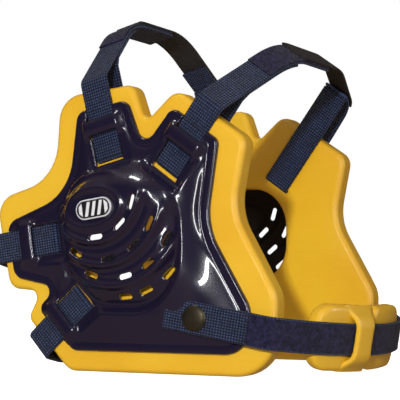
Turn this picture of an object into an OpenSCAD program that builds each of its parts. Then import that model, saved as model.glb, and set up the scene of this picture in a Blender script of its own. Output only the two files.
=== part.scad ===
// Wrestling headgear: two padded ear guards joined by four straps over and
// behind the head and by a chin strap with a pad.
// The wearer faces +X, the wearer's left is +Y, up is +Z, and the table is z = 0.

/* [Guards] */
// Gap between the inner faces of the two pads
head_gap = 120; // [110:1:135]
// Thickness of the foam pads
foam_t = 13; // [11:0.5:15]
// Wall of the moulded shells
shell_t = 2; // [1.6:0.1:2.4]
// Height of the ear dome above the shell plate
dome_h = 12; // [8:0.5:14]
// Inset of the dome's top from its foot
dome_slope = 8; // [6:0.5:10]

/* [Straps] */
// Width of the webbing
web_w = 16; // [14:0.5:17]
// Thickness of the webbing
web_t = 1.6; // [1.2:0.1:1.8]
// Thickness of the loop patch
loop_t = 1; // [0.8:0.1:1.4]
// Thickness of the hook tape
hook_t = 1.2; // [1:0.1:1.6]
// Length of the free tip of each hook tape
tip_len = 18; // [12:1:22]

/* [Chin strap] */
// Reach of the chin strap in front of the snaps
chin_reach = 71; // [66:1:80]
// Downward slope of the chin strap in degrees
chin_slope = 9.5; // [6:0.5:10]
// Height of the chin pad
pad_h = 33; // [28:1:33]
// Thickness of the chin pad
pad_t = 9; // [7:0.5:10]
// Length of the chin pad along the strap
pad_len = 88; // [76:1:92]

/* [Snaps] */
// Diameter of the snap caps
cap_d = 13; // [12:0.5:14]
// Diameter of the snap studs' heads
stud_d = 4.4; // [4:0.1:4.8]

/* [Hidden] */

// Faces of the guard, as distances from the middle plane
foam_in = head_gap / 2;
foam_out = foam_in + foam_t;
shell_out = foam_out + shell_t;
gap = 0.15;
arc_steps = 7;

// The guards are drawn with x = 0 at the snaps, and the whole part is moved
// forward so that its box is centred on x = 0
centre_shift = 32.32;

// Snap: height above the table, and the stack from the shell outwards
snap_z = 28.4;
flange_t = 0.6;
socket_t = 1.6;
rivet_d = 10;
flange_d = 9;
socket_d = 11;
tab_in = shell_out + flange_t + socket_t + 2 * gap;
tab_mid = tab_in + web_t / 2;
tab_back = 17;
tab_front = 29;

// Chin strap: an arc between two bends beside the guards' front edges
chin_bend = 41;
chin_rise = chin_reach - chin_bend;
chin_r = (tab_mid * tab_mid + chin_rise * chin_rise) / (2 * chin_rise);
chin_end = asin(tab_mid / chin_r);
pad_offset = -7.8;
pad_half = pad_len / 2 / chin_r * 180 / PI;
keeper_at = pad_offset - 6.3;
keeper_half = 3.1;
keeper_t = 3.2;
keeper_h = 25;
keeper_end = 3.8;

// Outline of a foam pad: corner x, corner z, corner radius
FOAM = [
    [-83, 142.5, 14], [-39, 147, 6], [-32, 127, 4], [-14, 143, 8], [25, 116.5, 8],
    [18, 81, 30], [41, 40, 18], [40, 0, 22], [-77, 0, 10], [-102.5, 27, 5],
    [-95, 41, 4], [-112, 43, 7], [-120.5, 89, 12], [-84, 99.5, 26]
];
// Outline of a shell, inside the foam's edge
SHELL = [
    [-71, 134, 6], [-41, 139, 6], [-31.5, 114, 5], [-15, 134, 5], [11, 116, 5],
    [4.5, 74, 34], [28, 34, 14], [28, 10.5, 14], [-73, 10.5, 7], [-95, 32, 5],
    [-83.5, 43, 4], [-109.5, 48, 7], [-115, 77, 8], [-76, 92, 28]
];
// Ear opening of the pad and foot of the shell's dome
EAR = [[-71, 45, 22], [-13, 45, 22], [-13, 100, 22], [-71, 100, 22]];
DOME = [[-80, 30, 30], [-7, 30, 30], [-7, 107, 30], [-80, 107, 30]];

// Head straps: slit x, slit z, tilt from vertical towards +X in degrees,
// height of the lobe's end above the slit, height of the arch, half its flat top,
// and a shoulder over the left guard if the arch has one
CROWN = [-51, 109, -14, 38.3, 78, 30];
FOREHEAD = [-18, 102, 36, 36.5, 77, 30, [72, 60, 12]];
UPPER_BACK = [-83, 69, -99, 34, 52, 44];
LOWER_BACK = [-66.5, 38, -132, 34, 44, 52];
STRAPS = [CROWN, FOREHEAD, UPPER_BACK, LOWER_BACK];

// Vent rows: centre x, centre z, radius, then the angles of the slots
VENTS = [
    [-54.5, 92.5, 24, [-16, -47, -84]],
    [-51, 89, 31.5, [-26, -51, -81, -117]],
    [-46.5, 83.5, 35.5, [-27, -52, -76, -108]],
    [-41, 77, 40, [-44, -66, -84]]
];
vent_len = 8;
vent_w = 2.8;

// Slits: how far they reach below and above a strap's slit line, and how far
// the shell is open above them
slit_low = -2.6;
slit_high = 1.1;
slot_high = 60;

// Bridges over the straps, as distances above the slit
bridge_low = 14;
bridge_high = 23;
bridge_foot = 2.5;

// Badge: straight part and height of its oval
badge_at = [-53.6, 82.9];
badge_tilt = 8;
badge_straight = 10.6;
badge_h = 10.2;

// ---- curves ----
function unit(v) = v / norm(v);

// Arc that rounds the corner b between a and c
function fillet(a, b, c, r) =
    let (
        u = unit([a.x - b.x, a.y - b.y]),
        v = unit([c.x - b.x, c.y - b.y]),
        half = acos(max(-1, min(1, u * v))) / 2
    )
    r == 0 || half > 89.5 ? [[b.x, b.y]] :
    let (
        centre = [b.x, b.y] + unit(u + v) * r / sin(half),
        start = [b.x, b.y] + u * r / tan(half) - centre,
        end = [b.x, b.y] + v * r / tan(half) - centre,
        from = atan2(start.y, start.x),
        turn = (atan2(end.y, end.x) - from + 540) % 360 - 180
    )
    [for (i = [0 : arc_steps]) centre + r * [
        cos(from + turn * i / arc_steps), sin(from + turn * i / arc_steps)]];

// Closed outline with its corners rounded
function rounded(c) = [
    for (i = [0 : len(c) - 1])
        each fillet(c[(i + len(c) - 1) % len(c)], c[i], c[(i + 1) % len(c)], c[i][2])
];

// Open path with its inner corners rounded
function bent(c) = [
    [c[0].x, c[0].y],
    for (i = [1 : len(c) - 2]) each fillet(c[i - 1], c[i], c[i + 1], c[i][2]),
    [c[len(c) - 1].x, c[len(c) - 1].y]
];

// Direction square to the path at point i
function side_at(p, i) =
    let (d = unit(p[min(i + 1, len(p) - 1)] - p[max(i - 1, 0)])) [-d.y, d.x];

// Outline of a band between two distances from a path
function band(p, low, high) = concat(
    [for (i = [0 : len(p) - 1]) p[i] + high * side_at(p, i)],
    [for (i = [len(p) - 1 : -1 : 0]) p[i] + low * side_at(p, i)]
);

// Centreline of a head strap's webbing from one slit over the head to the other
strap_y = foam_out + gap + web_t / 2;
inner_y = foam_in - gap - web_t / 2;
bend_over = 4.5;
function arch(s) =
    let (foot = s[3] + bend_over)
    bent(concat(
        [[-strap_y, 0, 0], [-strap_y, foot, 5], [-s[5], s[4], 40], [s[5], s[4], 40]],
        len(s) > 6 ? [s[6]] : [],
        [[strap_y, foot, 5], [strap_y, 0, 0]]
    ));

// The same path seen from the left guard
function from_left(p) = [for (i = [len(p) - 1 : -1 : 0]) [-p[i].x, p[i].y]];

// Stretch of a path between two values of its first coordinate
function stretch(p, from, to) = concat(
    [cross_at(p, from)], [for (q = p) if (q.x > from && q.x < to) q], [cross_at(p, to)]
);
function cross_at(p, x) =
    let (i = max([for (k = [0 : len(p) - 2]) if (p[k].x <= x) k]), a = p[i], b = p[i + 1])
    a + (b - a) * (x - a.x) / (b.x - a.x);

// Path of the chin strap, forward distance against distance across
function chin_path() = bent(concat(
    [[-tab_mid, tab_front + 0.2, 0], [-tab_mid, chin_bend, 5]],
    [for (a = [-chin_end + 4 : 2 : chin_end - 4])
        [chin_r * sin(a), chin_reach - chin_r + chin_r * cos(a), 0]],
    [[tab_mid, chin_bend, 5], [tab_mid, tab_front + 0.2, 0]]
));

// ---- placing ----
// A flat shape in x and z, from y = -from, outwards by t, on the right guard
module slab(from, t) {
    translate([centre_shift, -from, 0]) rotate([90, 0, 0]) linear_extrude(t) children();
}

module left() {
    mirror([0, 1, 0]) children();
}

// Frame of a strap: z runs along the lobe, x across the strap
module strap_frame(x, z, tilt) {
    translate([centre_shift + x, 0, z]) rotate([0, tilt, 0]) children();
}

// A flat shape in y and z, spread evenly to both sides of x = 0
module across(w) {
    rotate([90, 0, 90]) linear_extrude(w, center = true) children();
}

// Cylinder along y on the snap's axis, from distance a to distance b
module snap_disc(a, b, d, d2 = 0) {
    translate([centre_shift, -a, snap_z]) rotate([90, 0, 0])
        cylinder(h = b - a, d1 = d, d2 = d2 == 0 ? d : d2, $fn = 48);
}

// ---- guards ----
// Slot in the guard's plane at a strap's slit, and the space above it
module strap_slot(s, low, high, w) {
    translate([s[0], s[1]]) rotate(-s[2]) translate([-w / 2, low]) square([w, high - low]);
}

module foam_pad() {
    color("gold") difference() {
        slab(foam_in, foam_t) polygon(rounded(FOAM));
        slab(foam_in - 1, foam_t + 2) polygon(rounded(EAR));
        for (s = STRAPS)
            slab(foam_in - 1, foam_t + 2) strap_slot(s, slit_low, slit_high, web_w + 1);
        snap_disc(foam_out - 1, foam_out + 1, rivet_d + 1);
    }
}

module dome(inset, height) {
    hull() {
        slab(foam_out, 0.1) offset(delta = -inset) polygon(rounded(DOME));
        slab(foam_out, height)
            offset(delta = -inset - dome_slope) polygon(rounded(DOME));
    }
}

module vents() {
    for (row = VENTS, a = row[3])
        translate([row[0] + row[2] * cos(a), row[1] + row[2] * sin(a)]) rotate(a + 90)
            square([vent_len, vent_w], center = true);
}

// Raised band of the shell that holds a strap's outer leg down
module bridge(s) {
    slab(shell_out, shell_t)
        strap_slot(s, bridge_low, bridge_high, web_w + 1 + 2 * bridge_foot);
    for (side = [-1, 1])
        slab(foam_out, 2 * shell_t)
            translate([s[0], s[1]]) rotate(-s[2])
                translate([side * (web_w + 1 + bridge_foot) / 2 - bridge_foot / 2, bridge_low])
                    square([bridge_foot, bridge_high - bridge_low]);
}

module shell() {
    color("midnightblue") {
        difference() {
            union() {
                slab(foam_out, shell_t) difference() {
                    polygon(rounded(SHELL));
                    offset(delta = -shell_t) polygon(rounded(DOME));
                }
                difference() {
                    dome(0, shell_t + dome_h);
                    dome(shell_t, dome_h);
                }
            }
            slab(foam_out - 1, dome_h + 4) vents();
            for (s = STRAPS)
                slab(foam_out - 1, shell_t + 2) strap_slot(s, slit_low, slot_high, web_w + 1);
            snap_disc(foam_out - 1, shell_out + 1, stud_d);
        }
        for (s = STRAPS) bridge(s);
    }
}

module badge() {
    color("silver") slab(shell_out + dome_h + 0.05, 0.8)
        translate(badge_at) rotate(badge_tilt) {
            square([badge_straight, badge_h], center = true);
            for (side = [-1, 1])
                translate([side * badge_straight / 2, 0]) circle(d = badge_h, $fn = 40);
        }
}

// ---- snaps, drawn on the right side ----
module snap_stud() {
    color("darkgoldenrod") {
        snap_disc(foam_out - 0.8, foam_out - 0.05, rivet_d);
        snap_disc(foam_out - 0.1, shell_out + 0.1, stud_d - 0.2);
        snap_disc(shell_out + 0.02, shell_out + flange_t, flange_d);
        snap_disc(shell_out + flange_t - 0.1, shell_out + flange_t + 1, stud_d - 0.6);
    }
}

module snap_socket() {
    color("darkgoldenrod") difference() {
        snap_disc(shell_out + flange_t + gap, tab_in - 0.02, socket_d);
        snap_disc(shell_out + flange_t, shell_out + flange_t + 1.3, stud_d + 0.2);
    }
}

module snap_cap() {
    color("dimgray") {
        snap_disc(tab_in, tab_in + web_t + 0.1, 3);
        snap_disc(tab_in + web_t + 0.05, tab_in + web_t + 0.8, cap_d);
        snap_disc(tab_in + web_t + 0.8, tab_in + web_t + 2, cap_d, cap_d * 0.55);
    }
}

module chin_tab() {
    color("navy") difference() {
        strap_frame(0, snap_z, 90 + chin_slope) across(web_w)
            translate([-tab_in - web_t, -tab_back]) square([web_t, tab_back + tab_front]);
        snap_disc(tab_in - 1, tab_in + web_t + 1, 3.2);
    }
}

// ---- chin strap ----
module chin_strap() {
    color("midnightblue") strap_frame(0, snap_z, 90 + chin_slope) across(web_w)
        polygon(band(chin_path(), -web_t / 2, web_t / 2));
}

// Sector of a ring about the chin arc's centre
module chin_sector(r_in, r_out, middle, half) {
    steps = 12;
    angles = [for (i = [-steps : steps]) middle + half * i / steps];
    translate([0, chin_reach - chin_r]) polygon(concat(
        [for (a = angles) r_out * [sin(a), cos(a)]],
        [for (i = [2 * steps : -1 : 0]) r_in * [sin(angles[i]), cos(angles[i])]]
    ));
}

// Front outline of the pad, two lobes that meet at a notch
module pad_front(middle) {
    lobe = pad_len / 4 + 1.5;
    translate([0, middle]) for (side = [-1, 1]) translate([0, side * (pad_len / 4 - 2)])
        hull() for (u = [-1, 1], v = [-1, 1])
            translate([u * (pad_h / 2 - 11), v * (lobe - 11)]) circle(r = 11, $fn = 32);
}

module chin_pad() {
    strap_in = chin_r - web_t / 2 - 0.3;
    strap_out = chin_r + web_t / 2 + 0.3;
    middle = chin_r * sin(pad_offset);
    color("gold") strap_frame(0, snap_z, 90 + chin_slope) {
        intersection() {
            across(pad_h) chin_sector(strap_in - pad_t, strap_in, pad_offset, pad_half);
            linear_extrude(chin_reach + 20) pad_front(middle);
        }
        across(keeper_h)
            chin_sector(strap_out, strap_out + keeper_t, keeper_at, keeper_half);
        for (edge = [-1, 1])
            translate([edge * (keeper_h - keeper_end) / 2, 0, 0]) across(keeper_end)
                chin_sector(strap_in - 1, strap_out + 1, keeper_at, keeper_half);
    }
}

// ---- head straps ----
// The arch from the right slit to a distance across
function legs(p, far) = concat([for (q = p) if (q.x < far) q], [cross_at(p, far)]);

// Loop of webbing round the right lobe: down the outside, through the slit and
// up the inside to where it is sewn to itself
module lobe_loop(p, far) {
    across(web_w) polygon(band(legs(p, far), -web_t / 2, web_t / 2));
    across(web_w) translate([-strap_y - web_t / 2, -web_t / 2])
        square([strap_y - inner_y + web_t, web_t]);
    across(web_w) translate([-inner_y - web_t / 2, -web_t / 2])
        square([web_t, cross_at(p, -inner_y).y]);
}

module webbing_right(s, far, tail) {
    color("navy") strap_frame(s[0], s[1], s[2]) {
        lobe_loop(arch(s), far);
        across(web_w) polygon(band(stretch(arch(s), -inner_y - 1, tail), -1.5 * web_t, 0));
    }
}

module webbing_left(s, near) {
    color("navy") strap_frame(s[0], s[1], s[2]) mirror([0, 1, 0])
        lobe_loop(from_left(arch(s)), -near);
}

// The layers on the arch: where the free tip starts, and how far the loop patch
// lies from the webbing's centreline
tip_at = -22;
layer = web_t / 2 + 0.05;
module loop_patch(s, from, to) {
    color("darkslateblue") strap_frame(s[0], s[1], s[2]) across(web_w)
        polygon(band(stretch(arch(s), from, to), layer, layer + loop_t));
}

module hook_tape(s, to) {
    low = layer + loop_t + gap;
    color("darkslategray") strap_frame(s[0], s[1], s[2]) across(web_w)
        polygon(band(stretch(arch(s), tip_at + tip_len + 0.2, to), low, low + hook_t));
}

module hook_tip(s) {
    low = layer + loop_t + gap;
    color("dimgray") strap_frame(s[0], s[1], s[2]) across(web_w)
        polygon(band(stretch(arch(s), tip_at, tip_at + tip_len), low, low + hook_t));
}

foam_pad();  // right_foam_pad
left() foam_pad();  // left_foam_pad
shell();  // right_shell
left() shell();  // left_shell
badge();  // right_badge
left() badge();  // left_badge
snap_stud();  // right_snap_stud
left() snap_stud();  // left_snap_stud
snap_socket();  // right_snap_socket
left() snap_socket();  // left_snap_socket
snap_cap();  // right_snap_cap
left() snap_cap();  // left_snap_cap
chin_tab();  // right_chin_tab
left() chin_tab();  // left_chin_tab
chin_strap();
chin_pad();
webbing_right(CROWN, 12, -30);  // crown_webbing_right
webbing_left(CROWN, 47);  // crown_webbing_left
loop_patch(CROWN, -46, 12);  // crown_loop_patch
hook_tape(CROWN, 60);  // crown_hook_tape
hook_tip(CROWN);  // crown_hook_tip
webbing_right(FOREHEAD, 12, -24);  // forehead_webbing_right
webbing_left(FOREHEAD, 60);  // forehead_webbing_left
loop_patch(FOREHEAD, -46, 12);  // forehead_loop_patch
hook_tape(FOREHEAD, 70);  // forehead_hook_tape
hook_tip(FOREHEAD);  // forehead_hook_tip
webbing_right(UPPER_BACK, 12, -30);  // upper_back_webbing_right
webbing_left(UPPER_BACK, 47);  // upper_back_webbing_left
loop_patch(UPPER_BACK, -46, 12);  // upper_back_loop_patch
hook_tape(UPPER_BACK, 60);  // upper_back_hook_tape
hook_tip(UPPER_BACK);  // upper_back_hook_tip
webbing_right(LOWER_BACK, 12, -30);  // lower_back_webbing_right
webbing_left(LOWER_BACK, 47);  // lower_back_webbing_left
loop_patch(LOWER_BACK, -46, 12);  // lower_back_loop_patch
hook_tape(LOWER_BACK, 60);  // lower_back_hook_tape
hook_tip(LOWER_BACK);  // lower_back_hook_tip
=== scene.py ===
"""Wrestling headgear: two padded ear guards, four head straps and a chin strap with its pad.

Metres, the wearer's face towards +X, the wearer's left at +Y, the table at z = 0. The guards are
drawn in millimetres forward of the snaps and above the table, as a pattern cutter would.
"""
import math

import bmesh
import bpy
import numpy as np
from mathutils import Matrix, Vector
from mathutils.geometry import delaunay_2d_cdt


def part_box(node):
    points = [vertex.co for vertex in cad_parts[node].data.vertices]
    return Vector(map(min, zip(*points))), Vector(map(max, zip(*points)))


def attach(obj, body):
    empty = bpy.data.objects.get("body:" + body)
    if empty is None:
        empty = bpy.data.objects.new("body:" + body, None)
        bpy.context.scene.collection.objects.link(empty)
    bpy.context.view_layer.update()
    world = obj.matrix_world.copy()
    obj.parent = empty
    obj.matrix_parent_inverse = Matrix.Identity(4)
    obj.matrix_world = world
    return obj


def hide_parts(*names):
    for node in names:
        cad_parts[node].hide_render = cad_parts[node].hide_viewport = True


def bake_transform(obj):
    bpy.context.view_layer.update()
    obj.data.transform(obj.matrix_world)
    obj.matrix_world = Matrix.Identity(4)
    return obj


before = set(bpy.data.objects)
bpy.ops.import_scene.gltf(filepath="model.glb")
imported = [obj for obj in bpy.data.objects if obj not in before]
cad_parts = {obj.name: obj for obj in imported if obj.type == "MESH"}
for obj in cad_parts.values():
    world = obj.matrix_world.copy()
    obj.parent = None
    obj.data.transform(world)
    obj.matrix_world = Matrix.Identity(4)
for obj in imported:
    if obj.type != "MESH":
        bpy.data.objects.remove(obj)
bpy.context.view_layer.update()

MM = 0.001

# ---- Camera ----
# A long lens a little above the table, in front of the wearer's right ear and
# looking up slightly.
snap_low, snap_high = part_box("right_snap_cap")
snap = (snap_low + snap_high) / 2
camera_data = bpy.data.cameras.new("camera")
camera_data.lens = 126
camera_data.sensor_width = 36
camera = bpy.data.objects.new("camera", camera_data)
camera.location = (snap.x + 0.3163, -0.6884, 0.0516)
camera.rotation_euler = (math.radians(90 + 2.9), 0, math.radians(27.2))
bpy.context.scene.collection.objects.link(camera)
bpy.context.scene.camera = camera
bpy.context.scene.view_settings.view_transform = "Standard"


# ---- Finishes ----
# A finish is one material. Socket values are combined as plain sums, and the
# class writes the nodes.
class Wire:
    """One output of a finish's node tree, which can be used in sums."""

    def __init__(self, finish, socket):
        self.finish, self.socket = finish, socket

    def sum(self, operation, *values):
        return self.finish.node("ShaderNodeMath", {"operation": operation}, *values)

    def __add__(self, other):
        return self.sum("ADD", self, other)

    def __radd__(self, other):
        return self.sum("ADD", other, self)

    def __sub__(self, other):
        return self.sum("SUBTRACT", self, other)

    def __rsub__(self, other):
        return self.sum("SUBTRACT", other, self)

    def __mul__(self, other):
        return self.sum("MULTIPLY", self, other)

    def __rmul__(self, other):
        return self.sum("MULTIPLY", other, self)

    def cos(self):
        return self.sum("COSINE", self)

    def clip(self):
        return self.finish.node("ShaderNodeClamp", {}, self)


class Finish:
    """A material with one Principled shader, and a few words for its nodes."""

    def __init__(self, name, **constants):
        self.material = bpy.data.materials.new(name)
        self.material.use_nodes = True
        self.tree = self.material.node_tree
        self.shader = self.tree.nodes["Principled BSDF"]
        for key, value in constants.items():
            self.shader.inputs[key.replace("_", " ")].default_value = value

    def node(self, kind, settings, *values, **named):
        made = self.tree.nodes.new(kind)
        out = settings.pop("out", 0)
        for key, value in settings.items():
            setattr(made, key, value)
        for key, value in [*enumerate(values), *named.items()]:
            if value is None:
                continue
            socket = made.inputs[key if isinstance(key, int) else key.replace("_", " ")]
            if isinstance(value, Wire):
                self.tree.links.new(value.socket, socket)
            else:
                socket.default_value = value
        return Wire(self, made.outputs[out])

    def place(self):
        return self.node("ShaderNodeTexCoord", {"out": "Object"})

    def noise(self, scale, detail=3.0, roughness=0.5, stretch=(1, 1, 1)):
        at = self.node("ShaderNodeMapping", {}, self.place(), Scale=stretch)
        return self.node("ShaderNodeTexNoise", {}, at, None, scale, detail, roughness)

    def tint(self, share, low, high):
        return self.node("ShaderNodeMix", {"data_type": "RGBA", "out": 2}, share,
                         None, None, None, None, None, (*low, 1), (*high, 1))

    def step(self, value, low, high):
        return self.node("ShaderNodeMapRange", {"interpolation_type": "SMOOTHSTEP"},
                         value, low, high)

    def strand(self):
        """Place on a strip: metres along it, then metres across it."""
        at = self.node("ShaderNodeAttribute", {"attribute_name": "strand", "out": "Vector"})
        return [self.node("ShaderNodeSeparateXYZ", {"out": i}, at) for i in range(2)]

    def set(self, **wires):
        for key, value in wires.items():
            self.tree.links.new(value.socket, self.shader.inputs[key.replace("_", " ")])

    def bump(self, height, depth, strength=1.0):
        """depth is the real height of the relief, in metres."""
        self.set(Normal=self.node("ShaderNodeBump", {}, strength, depth, Height=height))


# ---- Table and studio light ----
# A white sweep, a small key in front of the guards, a soft light behind them, and
# tall cards that only gloss can see.
def studio_world():
    world = bpy.data.worlds.new("studio")
    bpy.context.scene.world = world
    world.use_nodes = True
    tree = world.node_tree
    tree.nodes.clear()
    add = tree.nodes.new
    path, out = add("ShaderNodeLightPath"), add("ShaderNodeOutputWorld")
    place, parts = add("ShaderNodeTexCoord"), add("ShaderNodeSeparateXYZ")
    ramp = add("ShaderNodeValToRGB")
    rise = add("ShaderNodeMapRange")
    rise.inputs["From Min"].default_value = -1
    tree.links.new(place.outputs["Generated"], parts.inputs[0])
    tree.links.new(parts.outputs["Z"], rise.inputs[0])
    tree.links.new(rise.outputs[0], ramp.inputs[0])
    stops = [(0.0, (0.16, 0.105, 0.08)), (0.40, (0.13, 0.085, 0.065)), (0.49, (0.012, 0.010, 0.018)),
             (0.66, (0.012, 0.010, 0.018)), (0.80, (0.10, 0.07, 0.06)), (1.0, (0.14, 0.11, 0.10))]
    for element, (at, colour) in zip(ramp.color_ramp.elements, (stops[0], stops[-1])):
        element.position, element.color = at, (*colour, 1)
    for at, colour in stops[1:-1]:
        ramp.color_ramp.elements.new(at).color = (*colour, 1)
    white, fill, gloss = [add("ShaderNodeBackground") for _ in range(3)]
    white.inputs["Color"].default_value = (1, 1, 1, 1)
    fill.inputs["Color"].default_value = (1, 0.86, 0.80, 1)
    fill.inputs["Strength"].default_value = 0.40
    tree.links.new(ramp.outputs["Color"], gloss.inputs["Color"])
    last = fill
    for chooser, other in (("Is Glossy Ray", gloss), ("Is Camera Ray", white)):
        mix = add("ShaderNodeMixShader")
        tree.links.new(path.outputs[chooser], mix.inputs[0])
        tree.links.new(last.outputs[0], mix.inputs[1])
        tree.links.new(other.outputs[0], mix.inputs[2])
        last = mix
    tree.links.new(last.outputs[0], out.inputs["Surface"])


def soft_light(name, energy, width, height, bearing, rise, reach, gloss):
    """An area light that faces the guards from a bearing measured from -Y towards +X."""
    data = bpy.data.lights.new(name, "AREA")
    data.shape, data.size, data.size_y, data.energy = "RECTANGLE", width, height, energy
    light = bpy.data.objects.new(name, data)
    a, e = math.radians(bearing), math.radians(rise)
    way = Vector((math.sin(a) * math.cos(e), -math.cos(a) * math.cos(e), math.sin(e)))
    light.location = Vector((0, 0, 0.07)) + way * reach
    light.rotation_euler = way.to_track_quat("Z", "Y").to_euler()
    light.visible_camera = False
    light.visible_glossy = gloss
    light.visible_diffuse = not gloss
    bpy.context.scene.collection.objects.link(light)


studio_world()
soft_light("key", 11.6, 0.06, 0.06, 16.5, 12, 1.3, False)
soft_light("back_soft", 8.0, 0.60, 0.60, 205, 35, 1.5, False)
soft_light("front_card", 2.4, 0.11, 0.30, 6, 9, 1.2, True)
soft_light("tall_card", 5.0, 0.10, 0.9, 52, 8, 1.2, True)
soft_light("edge_card", 2.5, 0.05, 0.6, 105, 10, 1.0, True)
soft_light("top_card", 1.2, 0.25, 0.08, -30, 62, 1.0, True)

table_finish = Finish("white_sweep", Base_Color=(0.95, 0.95, 0.95, 1), Roughness=0.7,
                      Emission_Color=(1, 1, 1, 1), Emission_Strength=0.9)
table_finish.shader.inputs["Specular IOR Level"].default_value = 0.0
table_mesh = bpy.data.meshes.new("table")
reach = 8.0
table_mesh.from_pydata([(-reach, -reach, 0), (reach, -reach, 0), (reach, reach, 0), (-reach, reach, 0)],
                       [], [(0, 1, 2, 3)])
table_mesh.materials.append(table_finish.material)
table = bpy.data.objects.new("table", table_mesh)
table.visible_glossy = table.visible_diffuse = False
bpy.context.scene.collection.objects.link(table)


# ---- Foam pads ----
# Each guard's pad is die-cut from soft foam and dipped in a glossy yellow skin:
# 13 mm thick with full round edges, an ear opening, and a slit for each strap.
def rounded(corners, steps=10):
    """Closed outline whose corners (x, z, radius) are rounded."""
    points, count = [], len(corners)
    for i, (x, z, radius) in enumerate(corners):
        corner = np.array([x, z], float)
        back = np.array(corners[i - 1][:2], float) - corner
        ahead = np.array(corners[(i + 1) % count][:2], float) - corner
        back, ahead = back / np.linalg.norm(back), ahead / np.linalg.norm(ahead)
        half = math.acos(np.clip(back @ ahead, -1, 1)) / 2
        if radius == 0 or half > math.radians(89.5):
            points.append(corner)
            continue
        centre = corner + (back + ahead) / np.linalg.norm(back + ahead) * radius / math.sin(half)
        start, end = (corner + way * radius / math.tan(half) - centre for way in (back, ahead))
        first = math.atan2(start[1], start[0])
        turn = (math.atan2(end[1], end[0]) - first + 3 * math.pi) % (2 * math.pi) - math.pi
        points += [centre + radius * np.array([math.cos(first + turn * k / steps),
                                               math.sin(first + turn * k / steps)])
                   for k in range(steps + 1)]
    return np.array(points)


def divided(loop, pitch):
    """The same closed outline with points no further apart than pitch."""
    points = []
    for a, b in zip(loop, np.roll(loop, -1, 0)):
        pieces = max(1, math.ceil(np.linalg.norm(b - a) / pitch - 0.01))
        points += [a + (b - a) * k / pieces for k in range(pieces)]
    return np.array(points)


def inside(points, loop):
    ahead = np.roll(loop, -1, 0)
    x, z = points[:, :1], points[:, 1:]
    spans = (loop[:, 1] > z) != (ahead[:, 1] > z)
    rise = np.where(ahead[:, 1] == loop[:, 1], 1, ahead[:, 1] - loop[:, 1])
    return (spans & (x < loop[:, 0] + (z - loop[:, 1]) * (ahead[:, 0] - loop[:, 0]) / rise)).sum(1) % 2 == 1


def distance(points, loop):
    """How far each point is from a closed outline."""
    nearest = np.full(len(points), 1e9)
    for a, b in zip(loop, np.roll(loop, -1, 0)):
        run = b - a
        share = np.clip((points - a) @ run / max(run @ run, 1e-12), 0, 1)
        nearest = np.minimum(nearest, np.linalg.norm(points - a - share[:, None] * run, axis=1))
    return nearest


def cut_sheet(outline, holes, pitch, rims, rimmed=(), notches=()):
    """Triangles of a flat sheet with holes: outline and holes are closed outlines, and rows of
    points follow the outline and the rimmed holes at the rims' distances from the edge."""
    edges = [divided(loop, pitch) for loop in (outline, *rimmed, *holes, *notches)]
    low, high = outline.min(0), outline.max(0)
    rows = []
    for k, z in enumerate(np.arange(low[1], high[1], pitch * 0.866)):
        x = np.arange(low[0], high[0], pitch) + (k % 2) * pitch / 2
        rows.append(np.stack([x, np.full(len(x), z)], 1))
    middle = np.concatenate(rows)
    near = np.minimum.reduce([distance(middle, e) for e in edges[:1 + len(rimmed)]])
    middle = middle[near > max([pitch * 0.3, *rims]) + pitch * 0.4]
    followed = []
    for loop in edges[:1 + len(rimmed)]:
        run = np.roll(loop, -1, 0) - np.roll(loop, 1, 0)
        normal = np.stack([-run[:, 1], run[:, 0]], 1) / np.linalg.norm(run, axis=1)[:, None]
        for rim in rims:
            for side in (-1, 1):
                row = loop + side * rim * normal
                clear = np.minimum.reduce([distance(row, e) for e in edges[:1 + len(rimmed)]])
                followed.append(row[clear > rim * 0.97])
    middle = np.concatenate([middle, *followed])
    for loop in edges[1 + len(rimmed):]:
        middle = middle[distance(middle, loop) > pitch * 0.45]
    middle = middle[inside(middle, outline)]
    points, lines = [], []
    for loop in edges:
        first = len(points)
        points += list(loop)
        lines += [(first + k, first + (k + 1) % len(loop)) for k in range(len(loop))]
    points += list(middle)
    made = delaunay_2d_cdt([Vector(p) for p in points], lines, [], 0, 1e-5)
    flat = np.array([tuple(v) for v in made[0]])
    corners = np.array([f for f in made[2] if len(f) == 3])
    centre = flat[corners].mean(1)
    keep = inside(centre, outline)
    for loop in (*rimmed, *holes, *notches):
        keep &= ~inside(centre, loop)
    corners = corners[keep]
    a, b, c = (flat[corners[:, k]] for k in range(3))
    turn = (b[:, 0] - a[:, 0]) * (c[:, 1] - a[:, 1]) - (b[:, 1] - a[:, 1]) * (c[:, 0] - a[:, 0])
    corners[turn < 0] = corners[turn < 0][:, ::-1]
    used = np.unique(corners)
    order = np.full(len(flat), -1)
    order[used] = np.arange(len(used))
    return flat[used], order[corners]


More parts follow.
